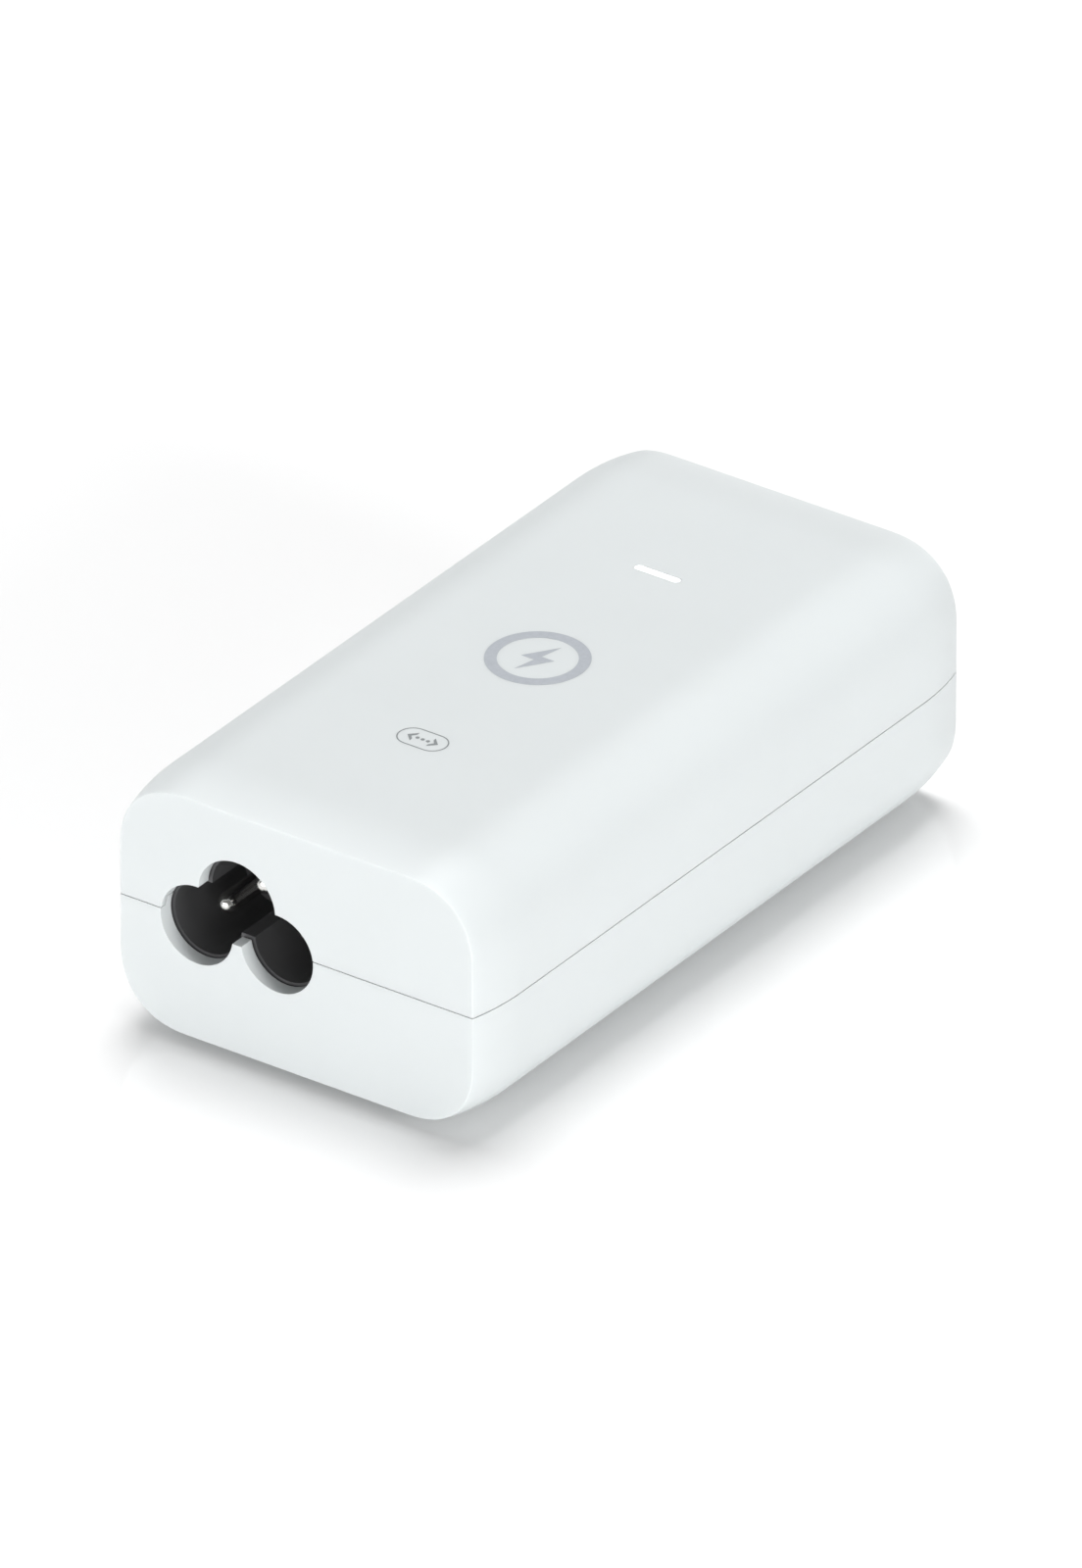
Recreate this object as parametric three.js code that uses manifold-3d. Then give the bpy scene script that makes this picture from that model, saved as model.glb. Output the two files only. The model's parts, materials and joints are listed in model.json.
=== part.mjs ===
// A mains-powered PoE injector: a white two-part case with a three-pole appliance inlet at one end and two
// RJ45 jacks at the other, built as the separate pieces that it comes apart into.
//
// Millimetres, +Z up. The origin is on the floor under the middle of the case. +Y runs from the inlet end to
// the jack end, and +X is to the right for someone who looks into the inlet.
import * as THREE from "three";
import { mergeVertices } from "three/addons/utils/BufferGeometryUtils.js";
import Module from "manifold-3d";

const wasm = await Module();
wasm.setup();

// ---- Driving dimensions --------------------------------------------------------------------------------

// Case: a rounded box that draws in slightly over the last stretch of each end, where a flat face cuts it.
const CASE_LENGTH = 86.2;
const CASE_WIDTH = 45.8;
const CASE_HEIGHT = 29.7;
const CORNER_RADIUS = 9.2;
const CORNER_EXPONENT = 2.31; // 2 is a circle, and more is squarer
const END_STRETCH = 7.4;
const END_INSET = { x: 0.98, z: 0.89 };
const WALL = 2.0;
const END_WALL = 1.8;
const PARTING_GAP = 0.15;
const LIP = { height: 1.1, width: 0.9, clearance: 0.15 };

// Feet
const FOOT = { radius: 3.5, proud: 0.45, sunk: 0.6, chamfer: 0.2, clearance: 0.15, x: 9.5, y: 30 };
const PARTING_Z = FOOT.proud + CASE_HEIGHT / 2;

// Light bar in the top
const LIGHT = { length: 5.6, width: 1.0, y: 20.8, clearance: 0.13, flange: 0.8, flangeRim: 1.2 };

// Appliance inlet: two live poles 10 mm apart and the earth pole above them, each in its own round lobe.
const INLET = {
  x: -7.38,
  z: -0.55, // of the live poles, from the parting plane
  poleSpacing: 10,
  earthRise: 4.2,
  lobeRadius: 4.5,
  earthLobeRadius: 4.8,
  notch: -0.7, // top of the ridge between the live lobes
  setback: 0.25, // from the inside of the end wall
  rim: 0.3, // of the housing that shows inside the opening in the case
  cavityDepth: 12,
  depth: 14,
  wall: 1.3,
};
const PIN = { radius: 1.15, clearance: 0.12, liveTip: 4.5, earthTip: 4.15, behind: 2.2, tail: [1.2, 0.8] };

// RJ45 jacks
const JACK = {
  pitch: 18.6,
  width: 15.9,
  height: 13.2,
  depth: 15.6,
  recess: 0.3,
  sheet: 0.35,
  gap: 0.12,
  windowClearance: 0.2,
  mouth: { width: 11.9, height: 7.9, floor: 3.6, depth: 13.2 },
  latch: [
    { width: 6.3, drop: 1.5 },
    { width: 3.4, drop: 2.7 },
  ],
  contacts: 8,
  contactPitch: 1.02,
  contactSide: 0.46,
};

// Circuit board
const BOARD = { width: 38.4, length: 80.2, thickness: 1.6, corner: 3.5, underside: 6.0 };
const BOARD_TOP = BOARD.underside + BOARD.thickness;
const SEAT = 0.05; // between a component and the board that it stands on
const SHEET = { width: 27, length: 72, thickness: 0.4, lift: 0.05 };

// Facets
const CORNER_STEPS = 7;
const END_STEPS = 4;
const ROUND = 28;
const SMALL_ROUND = 16;

// ---- Solids --------------------------------------------------------------------------------------------

function toSolid(geometry) {
  const bare = geometry.clone();
  bare.deleteAttribute("normal");
  bare.deleteAttribute("uv");
  const merged = mergeVertices(bare, 1e-4);
  return new wasm.Manifold(
    new wasm.Mesh({
      numProp: 3,
      vertProperties: new Float32Array(merged.attributes.position.array),
      triVerts: new Uint32Array(merged.index.array),
    }),
  );
}

function toGeometry(solid) {
  const mesh = solid.getMesh();
  const geometry = new THREE.BufferGeometry();
  geometry.setAttribute("position", new THREE.BufferAttribute(mesh.vertProperties, 3));
  geometry.setIndex(new THREE.BufferAttribute(mesh.triVerts, 1));
  const faceted = geometry.toNonIndexed();
  faceted.computeVertexNormals();
  return faceted;
}

const join = (first, ...others) => toGeometry(others.reduce((sum, g) => sum.add(toSolid(g)), toSolid(first)));
const cut = (body, ...tools) => toGeometry(tools.reduce((sum, g) => sum.subtract(toSolid(g)), toSolid(body)));
const common = (first, second) => toGeometry(toSolid(first).intersect(toSolid(second)));

// A box from one corner to the other.
function block([x0, x1], [y0, y1], [z0, z1]) {
  const box = new THREE.BoxGeometry(x1 - x0, y1 - y0, z1 - z0);
  return box.translate((x0 + x1) / 2, (y0 + y1) / 2, (z0 + z1) / 2);
}

// A box centred on x and y that stands on z = base.
function post(width, length, height, base = 0, x = 0, y = 0) {
  return block([x - width / 2, x + width / 2], [y - length / 2, y + length / 2], [base, base + height]);
}

// An outline in the XZ plane, extruded from y0 to y1.
function prismY(outline, y0, y1, steps = 1) {
  const options = { depth: y1 - y0, steps, bevelEnabled: false, curveSegments: SMALL_ROUND };
  return new THREE.ExtrudeGeometry(outline, options).rotateX(Math.PI / 2).translate(0, y1, 0);
}

// An outline in the XY plane, extruded from z0 to z1.
function prismZ(outline, z0, z1, curveSegments = 6) {
  const options = { depth: z1 - z0, bevelEnabled: false, curveSegments };
  return new THREE.ExtrudeGeometry(outline, options).translate(0, 0, z0);
}

function rodY(radius, y0, y1, x = 0, z = 0, segments = ROUND) {
  return new THREE.CylinderGeometry(radius, radius, y1 - y0, segments).translate(x, (y0 + y1) / 2, z);
}

function rodZ(radius, z0, z1, x = 0, y = 0, segments = ROUND) {
  const rod = new THREE.CylinderGeometry(radius, radius, z1 - z0, segments).rotateX(Math.PI / 2);
  return rod.translate(x, y, (z0 + z1) / 2);
}

// A turned piece about the Z axis, from [radius, height] pairs that run up from the axis and back to it.
function turnedZ(profile, segments = ROUND) {
  const points = profile.map(([r, z]) => new THREE.Vector2(r, z));
  return new THREE.LatheGeometry(points, segments).rotateX(Math.PI / 2);
}

// A turned piece about the Y axis.
function turnedY(profile, segments = SMALL_ROUND) {
  return new THREE.LatheGeometry(profile.map(([r, y]) => new THREE.Vector2(r, y)), segments);
}

// A rectangle with quarter-round corners.
function roundedRectangle(width, height, radius) {
  const [x, y] = [width / 2 - radius, height / 2 - radius];
  const outline = new THREE.Shape();
  outline.absarc(x, y, radius, 0, Math.PI / 2);
  outline.absarc(-x, y, radius, Math.PI / 2, Math.PI);
  outline.absarc(-x, -y, radius, Math.PI, 1.5 * Math.PI);
  outline.absarc(x, -y, radius, 1.5 * Math.PI, 2 * Math.PI);
  return outline;
}

// ---- Materials -----------------------------------------------------------------------------------------

const finish = (color, roughness, metalness = 0) =>
  new THREE.MeshStandardMaterial({ color, roughness, metalness });
const MATERIAL = {
  case: finish("#e9edee", 0.45),
  light: finish("#ffffff", 0.3),
  rubber: finish("#c9cccc", 0.85),
  black: finish("#161617", 0.5),
  nickel: finish("#cfd0cc", 0.25, 1),
  gold: finish("#d8b45a", 0.25, 1),
  board: finish("#1d5a37", 0.5),
  paper: finish("#d9d2b8", 0.8),
  ferrite: finish("#3b3b3d", 0.65),
  copper: finish("#b5652c", 0.35, 1),
  tape: finish("#e2c23a", 0.5),
  yellow: finish("#dfc04a", 0.5),
  blue: finish("#2c5c9c", 0.4),
  green: finish("#2e6b45", 0.45),
  brown: finish("#5a3a28", 0.5),
  sleeve: finish("#1c2230", 0.35),
  aluminium: finish("#b9bbbd", 0.4, 1),
};

function piece(name, geometry, material) {
  const mesh = new THREE.Mesh(geometry, material);
  mesh.name = name;
  return mesh;
}

function assembly(x, y, z, ...pieces) {
  const group = new THREE.Group();
  group.position.set(x, y, z);
  group.add(...pieces);
  return group;
}

// ---- Case ----------------------------------------------------------------------------------------------

const CORE = { x: CASE_WIDTH / 2 - CORNER_RADIUS, z: CASE_HEIGHT / 2 - CORNER_RADIUS };

// The case's cross-section, with superelliptic corners of the given radius around a fixed core.
function caseSection(radius) {
  const quadrants = [[1, 1], [-1, 1], [-1, -1], [1, -1]];
  const points = quadrants.flatMap(([sx, sz], q) =>
    Array.from({ length: CORNER_STEPS + 1 }, (_, k) => {
      const angle = ((q % 2 ? CORNER_STEPS - k : k) / CORNER_STEPS) * (Math.PI / 2);
      const reach = (part) => radius * Math.max(part, 0) ** (2 / CORNER_EXPONENT);
      const [x, z] = [CORE.x + reach(Math.cos(angle)), CORE.z + reach(Math.sin(angle))];
      return new THREE.Vector2(sx * x, sz * z);
    }),
  );
  return new THREE.Shape(points);
}

// How far the case has drawn in at y, as a share of END_INSET: an arc that starts tangent to the sides.
function drawnIn(y) {
  const along = Math.max(0, Math.abs(y) - (CASE_LENGTH / 2 - END_STRETCH));
  const radius = (END_STRETCH ** 2 + END_INSET.x ** 2) / (2 * END_INSET.x);
  return (radius - Math.sqrt(radius ** 2 - along ** 2)) / END_INSET.x;
}

// The case's outer form, shrunk by inset all round and cut to length.
function caseForm(inset, length) {
  const radius = CORNER_RADIUS - inset;
  const bend = CASE_LENGTH / 2 - END_STRETCH;
  const half = Array.from({ length: END_STEPS + 1 }, (_, k) => bend + ((length / 2 - bend) * k) / END_STEPS);
  const stations = [...half.map((y) => -y).reverse(), ...half];
  const steps = stations.length - 1;
  const form = prismY(caseSection(radius), -length / 2, length / 2, steps);
  const position = form.attributes.position;
  const drawn = (value, core, share) => {
    const beyond = Math.max(0, Math.abs(value) - core);
    return value - Math.sign(value) * beyond * share;
  };
  for (let i = 0; i < position.count; i += 1) {
    const y = stations[Math.round((position.getY(i) / length + 0.5) * steps)];
    const share = drawnIn(y) / radius;
    const x = drawn(position.getX(i), CORE.x, share * END_INSET.x);
    const z = drawn(position.getZ(i), CORE.z, share * END_INSET.z);
    position.setXYZ(i, x, y, z);
  }
  return form;
}

// The inlet's cloverleaf, extruded from y0 to y1, in the inlet's own frame.
function cloverleaf(margin, y0, y1) {
  const half = INLET.poleSpacing / 2;
  const lobe = INLET.lobeRadius + margin;
  return join(
    rodY(lobe, y0, y1, -half, 0),
    rodY(lobe, y0, y1, half, 0),
    rodY(INLET.earthLobeRadius + margin, y0, y1, 0, INLET.earthRise),
    block([-half, half], [y0, y1], [INLET.notch - margin, INLET.earthRise]),
  );
}

const JACK_X = [-JACK.pitch / 2, JACK.pitch / 2];
const JACK_FRONT = CASE_LENGTH / 2 - JACK.recess;
const JACK_BASE = BOARD_TOP + SEAT;

// The openings that both halves of the case share, in the case's frame.
function endOpenings() {
  const through = END_WALL + 2;
  const inlet = cloverleaf(0, -CASE_LENGTH / 2 - 1, -CASE_LENGTH / 2 + through);
  const grow = JACK.windowClearance;
  const windows = JACK_X.map((x) =>
    block(
      [x - JACK.width / 2 - grow, x + JACK.width / 2 + grow],
      [CASE_LENGTH / 2 - through, CASE_LENGTH / 2 + 1],
      [JACK_BASE - PARTING_Z - grow, JACK_BASE - PARTING_Z + JACK.height + grow],
    ),
  );
  return [inlet.translate(INLET.x, 0, INLET.z), ...windows];
}

const EVERYWHERE = [-100, 100];
// Ledges in the lower half and ribs in the upper half clamp the board's long edges.
const SUPPORT = {
  y: [-24.2, 0, 24.2],
  thickness: 1.6,
  ledge: [15.2, 18.6],
  ledgeBase: 2.3, // from the floor
  rib: [17.9, 20.4, 21.5],
  ribTop: 9.5, // from the parting plane
};

// One support at each of the six places, from its outline on the +X side.
function supports(corners) {
  const outline = (side) => new THREE.Shape(corners.map(([x, z]) => new THREE.Vector2(side * x, z)));
  return [-1, 1].flatMap((side) =>
    SUPPORT.y.map((y) => prismY(outline(side), y - SUPPORT.thickness / 2, y + SUPPORT.thickness / 2)),
  );
}

function makeLowerShell(skin, hollow) {
  const below = block(EVERYWHERE, EVERYWHERE, [-100, -PARTING_GAP / 2]);
  const tub = cut(common(skin, below), hollow);
  const lipForm = caseForm(WALL - LIP.width, CASE_LENGTH - 2 * (END_WALL - LIP.width));
  const lipBand = common(lipForm, block(EVERYWHERE, EVERYWHERE, [-1, LIP.height]));
  const lip = cut(lipBand, hollow);
  const pocketTop = FOOT.proud + FOOT.sunk + FOOT.clearance - PARTING_Z;
  const pockets = [-1, 1].flatMap((sx) =>
    [-1, 1].map((sy) =>
      rodZ(FOOT.radius + FOOT.clearance, -CASE_HEIGHT / 2 - 1, pocketTop, sx * FOOT.x, sy * FOOT.y),
    ),
  );
  const [x0, x1] = SUPPORT.ledge;
  const [z0, z1] = [SUPPORT.ledgeBase - PARTING_Z, BOARD.underside - SEAT - PARTING_Z];
  const ledges = supports([[x0, z0], [x1, z0], [x1, z1], [x0, z1]]);
  return cut(join(tub, lip, ...ledges), ...pockets, ...endOpenings());
}

function makeUpperShell(skin, hollow) {
  const above = block(EVERYWHERE, EVERYWHERE, [PARTING_GAP / 2, 100]);
  const wide = LIP.width + LIP.clearance;
  const grooveForm = caseForm(WALL - wide, CASE_LENGTH - 2 * (END_WALL - wide));
  const groove = common(grooveForm, block(EVERYWHERE, EVERYWHERE, [-1, LIP.height + LIP.clearance]));
  const { length, width, clearance } = LIGHT;
  const slotWidth = width + 2 * clearance;
  const slotOutline = roundedRectangle(length + 2 * clearance, slotWidth, slotWidth / 2 - 0.01);
  const slot = prismZ(slotOutline, CASE_HEIGHT / 2 - WALL - 1, CASE_HEIGHT / 2 + 1);
  const [x0, x1, x2] = SUPPORT.rib;
  const [z0, z1, z2] = [BOARD_TOP + SEAT - PARTING_Z, LIP.height + LIP.clearance + 0.3, SUPPORT.ribTop];
  const ribs = supports([[x0, z0], [x1, z0], [x1, z1], [x2, z1], [x2, z2], [x0, z2]]);
  const lid = cut(common(skin, above), hollow);
  return cut(join(cut(lid, groove), ...ribs), slot.translate(0, LIGHT.y, 0), ...endOpenings());
}

function makeCase() {
  const skin = caseForm(0, CASE_LENGTH);
  const hollow = caseForm(WALL, CASE_LENGTH - 2 * END_WALL);
  return assembly(
    0,
    0,
    PARTING_Z,
    piece("upper_shell", makeUpperShell(skin, hollow), MATERIAL.case),
    piece("lower_shell", makeLowerShell(skin, hollow), MATERIAL.case),
  );
}

function makeFeet() {
  const height = FOOT.proud + FOOT.sunk;
  const { radius, chamfer } = FOOT;
  const pad = turnedZ([[0, 0], [radius - chamfer, 0], [radius, chamfer], [radius, height], [0, height]]);
  const places = { front_left: [-1, -1], front_right: [1, -1], rear_left: [-1, 1], rear_right: [1, 1] };
  const feet = Object.entries(places).map(([where, [sx, sy]]) => {
    const foot = piece(`foot_${where}`, pad, MATERIAL.rubber);
    foot.position.set(sx * FOOT.x, sy * FOOT.y, 0);
    return foot;
  });
  return assembly(0, 0, 0, ...feet);
}

// ---- Status light --------------------------------------------------------------------------------------

const LED = { width: 3.2, length: 1.6, height: 1.1 };

function makeStatusLight() {
  const top = PARTING_Z + CASE_HEIGHT / 2;
  const ceiling = top - WALL;
  const { length, width, flange, flangeRim } = LIGHT;
  const ledTop = BOARD_TOP + SEAT + LED.height;
  const bar = prismZ(roundedRectangle(length, width, width / 2 - 0.01), ceiling - 0.5, top - 0.05);
  const rim = prismZ(
    roundedRectangle(length + 2 * flangeRim, width + 2 * flangeRim, 1),
    ceiling - 0.1 - flange,
    ceiling - 0.1,
    3,
  );
  const guide = post(length - 1.6, width, ceiling - 0.5 - (ledTop + 0.5), ledTop + 0.5);
  return assembly(
    0,
    LIGHT.y,
    0,
    piece("light_bar", join(bar, rim, guide), MATERIAL.light),
    piece("status_led", post(LED.width, LED.length, LED.height, BOARD_TOP + SEAT), MATERIAL.light),
  );
}

// ---- Appliance inlet -----------------------------------------------------------------------------------

const INLET_FRONT = -CASE_LENGTH / 2 + END_WALL + INLET.setback;
const POLES = {
  line: { x: -INLET.poleSpacing / 2, z: 0, tip: PIN.liveTip },
  neutral: { x: INLET.poleSpacing / 2, z: 0, tip: PIN.liveTip },
  earth: { x: 0, z: INLET.earthRise, tip: PIN.earthTip },
};

// A D-shaped block around the three lobes, flat underneath so that it stands on the board.
function inletOutline(base) {
  const half = INLET.poleSpacing / 2;
  const live = INLET.lobeRadius + INLET.wall;
  const earth = INLET.earthLobeRadius + INLET.wall;
  const lean = Math.atan2(half, INLET.earthRise); // of the flat between a live lobe and the earth lobe
  const outline = new THREE.Shape();
  outline.moveTo(-half - live, base);
  outline.lineTo(half + live, base);
  outline.absarc(half, 0, live, 0, lean);
  outline.absarc(0, INLET.earthRise, earth, lean, Math.PI - lean);
  outline.absarc(-half, 0, live, Math.PI - lean, Math.PI);
  return outline;
}

// A contact pin along Y whose tail turns down through the board.
function inletPin({ tip, z }, floor) {
  const start = -CASE_LENGTH / 2 + tip - INLET_FRONT;
  const end = INLET.depth + PIN.behind;
  const r = PIN.radius;
  const nose = [[0, start], [0.45 * r, start + 0.1 * r], [0.85 * r, start + 0.5 * r], [r, start + r]];
  const round = turnedY([...nose, [r, end], [0, end]]);
  const [width, thickness] = PIN.tail;
  return join(round, block([-width / 2, width / 2], [end - thickness, end], [floor - z, 0]));
}

function makeInlet() {
  const axisZ = PARTING_Z + INLET.z;
  const base = BOARD_TOP + SEAT - axisZ;
  const holes = Object.values(POLES).map(({ x, z }) =>
    rodY(PIN.radius + PIN.clearance, INLET.cavityDepth - 1, INLET.depth + 1, x, z, SMALL_ROUND),
  );
  const cavity = cloverleaf(-INLET.rim, -1, INLET.cavityDepth);
  const housing = cut(prismY(inletOutline(base), 0, INLET.depth), cavity, ...holes);
  const tailEnd = BOARD.underside - 1.2 - axisZ;
  const pins = Object.entries(POLES).map(([pole, place]) => {
    const pin = piece(`${pole}_pin`, inletPin(place, tailEnd), MATERIAL.nickel);
    pin.position.set(place.x, 0, place.z);
    return pin;
  });
  return assembly(INLET.x, INLET_FRONT, axisZ, piece("inlet_housing", housing, MATERIAL.black), ...pins);
}

// ---- RJ45 jacks ----------------------------------------------------------------------------------------

// In each jack's frame the mouth faces +Y at y = 0, and z = 0 is the underside.
function jackShield() {
  const { width, depth, height, sheet } = JACK;
  const outside = block([-width / 2, width / 2], [-depth, 0], [0, height]);
  const inside = block([-width / 2 + sheet, width / 2 - sheet], [-depth + sheet, 1], [-1, height - sheet]);
  const tabs = [-1, 1].map((side) => post(sheet, 1.6, 3.4, -3.3, side * (width / 2 - sheet / 2), -6));
  return join(cut(outside, inside), ...tabs);
}

const CONTACT_BAR = { height: 0.8, length: 1.4, front: 1.6 };

function jackHousing() {
  const { width, depth, height, sheet, gap, mouth } = JACK;
  const side = sheet + gap;
  const body = block([-width / 2 + side, width / 2 - side], [-depth + side, -0.05], [0, height - side]);
  const roof = mouth.floor + mouth.height;
  const throat = block([-mouth.width / 2, mouth.width / 2], [-mouth.depth, 1], [mouth.floor, roof]);
  const steps = JACK.latch.map(({ width: w, drop }) =>
    block([-w / 2, w / 2], [-mouth.depth + 4, 1], [mouth.floor - drop, mouth.floor + 1]),
  );
  return cut(body, throat, ...steps);
}

// The eight spring wires and the moulded bar that holds them under the roof of the mouth.
function jackContacts() {
  const { mouth, contacts, contactPitch, contactSide } = JACK;
  const roof = mouth.floor + mouth.height - 0.1;
  const barWidth = contacts * contactPitch + 1;
  const bar = block(
    [-barWidth / 2, barWidth / 2],
    [-CONTACT_BAR.front - CONTACT_BAR.length, -CONTACT_BAR.front],
    [roof - CONTACT_BAR.height, roof],
  );
  const reach = 9;
  const fall = 2.6;
  const wires = Array.from({ length: contacts }, (_, i) => {
    const wire = new THREE.BoxGeometry(contactSide, Math.hypot(reach, fall), contactSide);
    wire.rotateX(Math.atan2(fall, reach));
    const x = (i - (contacts - 1) / 2) * contactPitch;
    return wire.translate(x, -CONTACT_BAR.front - 0.7 - reach / 2, roof - 0.4 - fall / 2);
  });
  return join(bar, ...wires);
}

function makeJacks() {
  const shield = jackShield();
  const housing = jackHousing();
  const contacts = jackContacts();
  const jacks = { power: JACK_X[0], data: JACK_X[1] };
  return Object.entries(jacks).map(([use, x]) =>
    assembly(
      x,
      JACK_FRONT,
      JACK_BASE,
      piece(`${use}_jack_shield`, shield, MATERIAL.nickel),
      piece(`${use}_jack_housing`, housing, MATERIAL.black),
      piece(`${use}_jack_contacts`, contacts, MATERIAL.gold),
    ),
  );
}

// ---- Circuit board -------------------------------------------------------------------------------------

function makeBoard() {
  const outline = roundedRectangle(BOARD.width, BOARD.length, BOARD.corner);
  const board = prismZ(outline, BOARD.underside, BOARD_TOP);
  const [tailWidth, tailThickness] = PIN.tail;
  const tailY = INLET_FRONT + INLET.depth + PIN.behind - tailThickness / 2;
  const through = [BOARD.underside - 1, BOARD_TOP + 1];
  const slots = [
    ...Object.values(POLES).map(({ x }) => [INLET.x + x, tailY, tailWidth, tailThickness]),
    ...JACK_X.flatMap((x) =>
      [-1, 1].map((side) => [x + side * (JACK.width / 2 - JACK.sheet / 2), JACK_FRONT - 6, JACK.sheet, 1.6]),
    ),
  ].map(([x, y, width, length]) =>
    block([x - width / 2 - 0.3, x + width / 2 + 0.3], [y - length / 2 - 0.3, y + length / 2 + 0.3], through),
  );
  const floor = PARTING_Z - CASE_HEIGHT / 2 + WALL + SHEET.lift;
  return assembly(
    0,
    0,
    0,
    piece("main_board", cut(board, ...slots), MATERIAL.board),
    piece(
      "insulation_sheet",
      prismZ(roundedRectangle(SHEET.width, SHEET.length, 2), floor, floor + SHEET.thickness, 3),
      MATERIAL.paper,
    ),
  );
}

// ---- Mains side ----------------------------------------------------------------------------------------
// In each component's frame z = 0 is the top of the board.

const onBoard = (x, y, ...pieces) => assembly(x, y, BOARD_TOP + SEAT, ...pieces);

// A common-mode choke: a toroid on edge with a winding on each side, on a plastic base.
const CHOKE = { radius: 4.7, side: 3, clearance: 0.25, copper: 1.1, base: 1.2, span: 0.36 * Math.PI };

function makeChoke() {
  const { radius, side, clearance, copper, base, span } = CHOKE;
  const inner = radius - side / 2;
  const outer = radius + side / 2;
  const half = side / 2;
  const ring = turnedY([[inner, -half], [outer, -half], [outer, half], [inner, half], [inner, -half]], ROUND);
  const winding = (middle) => {
    const [bore, outside] = [2 * (half + clearance), 2 * (half + clearance + copper)];
    const section = roundedRectangle(outside, outside, 1);
    section.holes.push(new THREE.Path(roundedRectangle(bore, bore, 0.2).getPoints(2)));
    const points = Array.from({ length: 9 }, (_, k) => {
      const angle = middle + span * (k / 4 - 1);
      return new THREE.Vector3(radius * Math.cos(angle), 0, radius * Math.sin(angle));
    });
    const path = new THREE.CatmullRomCurve3(points);
    return new THREE.ExtrudeGeometry(section, { extrudePath: path, steps: 10, curveSegments: 3 });
  };
  const centre = base + outer + copper + clearance + 0.15;
  const pieces = [
    piece("choke_core", ring, MATERIAL.ferrite),
    piece("choke_left_winding", winding(Math.PI), MATERIAL.copper),
    piece("choke_right_winding", winding(0), MATERIAL.copper),
  ];
  pieces.forEach((p) => p.position.set(0, 0, centre));
  return onBoard(11.5, -33.2, ...pieces, piece("choke_base", post(13.5, 8, base), MATERIAL.black));
}

// A leaded disc: a round coated body on edge, with two leads down to the board.
function discBody(radius, thickness, lift) {
  const r = radius;
  const h = thickness / 2;
  const disc = turnedY([[0, -h], [r - 0.8, -h], [r, -h + 0.8], [r, h - 0.8], [r - 0.8, h], [0, h]], ROUND);
  const leads = [-1, 1].map((side) => post(0.6, 0.6, lift + r / 2, 0, side * 0.55 * r));
  return join(disc.translate(0, 0, lift + r), ...leads);
}

// A wound film capacitor in a moulded box.
function makeFilmCapacitor() {
  const shell = prismZ(roundedRectangle(12, 6, 0.6), 0.3, 11.5, 2);
  const feet = [-1, 1].map((side) => post(1, 5, 0.4, 0, side * 5));
  return onBoard(11.3, -20.6, piece("film_capacitor", join(shell, ...feet), MATERIAL.yellow));
}

// A moulded body that stands lift above the board.
const moulded = (width, length, radius, lift, top, curveSegments = 2) =>
  prismZ(roundedRectangle(width, length, radius), lift, top, curveSegments);

// An electrolytic can, with the crimped groove near its sealed end, standing on that end.
function canProfile(radius, height) {
  return [
    [0, 0.3],
    [radius - 0.7, 0.3],
    [radius, 1],
    [radius, 2.2],
    [radius - 0.5, 2.7],
    [radius, 3.2],
    [radius, height - 0.5],
    [radius - 0.5, height],
    [0, height],
  ];
}

function makeBulkCapacitor() {
  const can = turnedZ(canProfile(7.9, 24.5)).rotateX(-Math.PI / 2);
  const capacitor = piece("bulk_capacitor", can, MATERIAL.sleeve);
  capacitor.position.set(0, 0, 8.1);
  return onBoard(-9.4, -16, capacitor);
}

function makeMainsParts() {
  return [
    makeChoke(),
    makeFilmCapacitor(),
    makeBulkCapacitor(),
    onBoard(-14.4, -20.4, piece("fuse", moulded(4.2, 8.4, 0.8, 0, 7.8, 3), MATERIAL.brown)),
    onBoard(-6.8, -20.6, piece("thermistor", discBody(3.6, 3, 2.4), MATERIAL.green)),
    onBoard(1.2, -20.6, piece("varistor", discBody(4, 3.4, 2.4), MATERIAL.blue)),
    onBoard(0.4, -11.8, piece("bridge_rectifier", moulded(3.4, 8.6, 0.4, 1, 9.5), MATERIAL.black)),
  ];
}

// ---- Power conversion ----------------------------------------------------------------------------------

// The transformer: an E-I ferrite core around a bobbin whose winding is wrapped in tape.
const CORE_SIZE = { width: 18.6, length: 6.4, height: 17, leg: 3.2, centreLeg: 6 };

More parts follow.
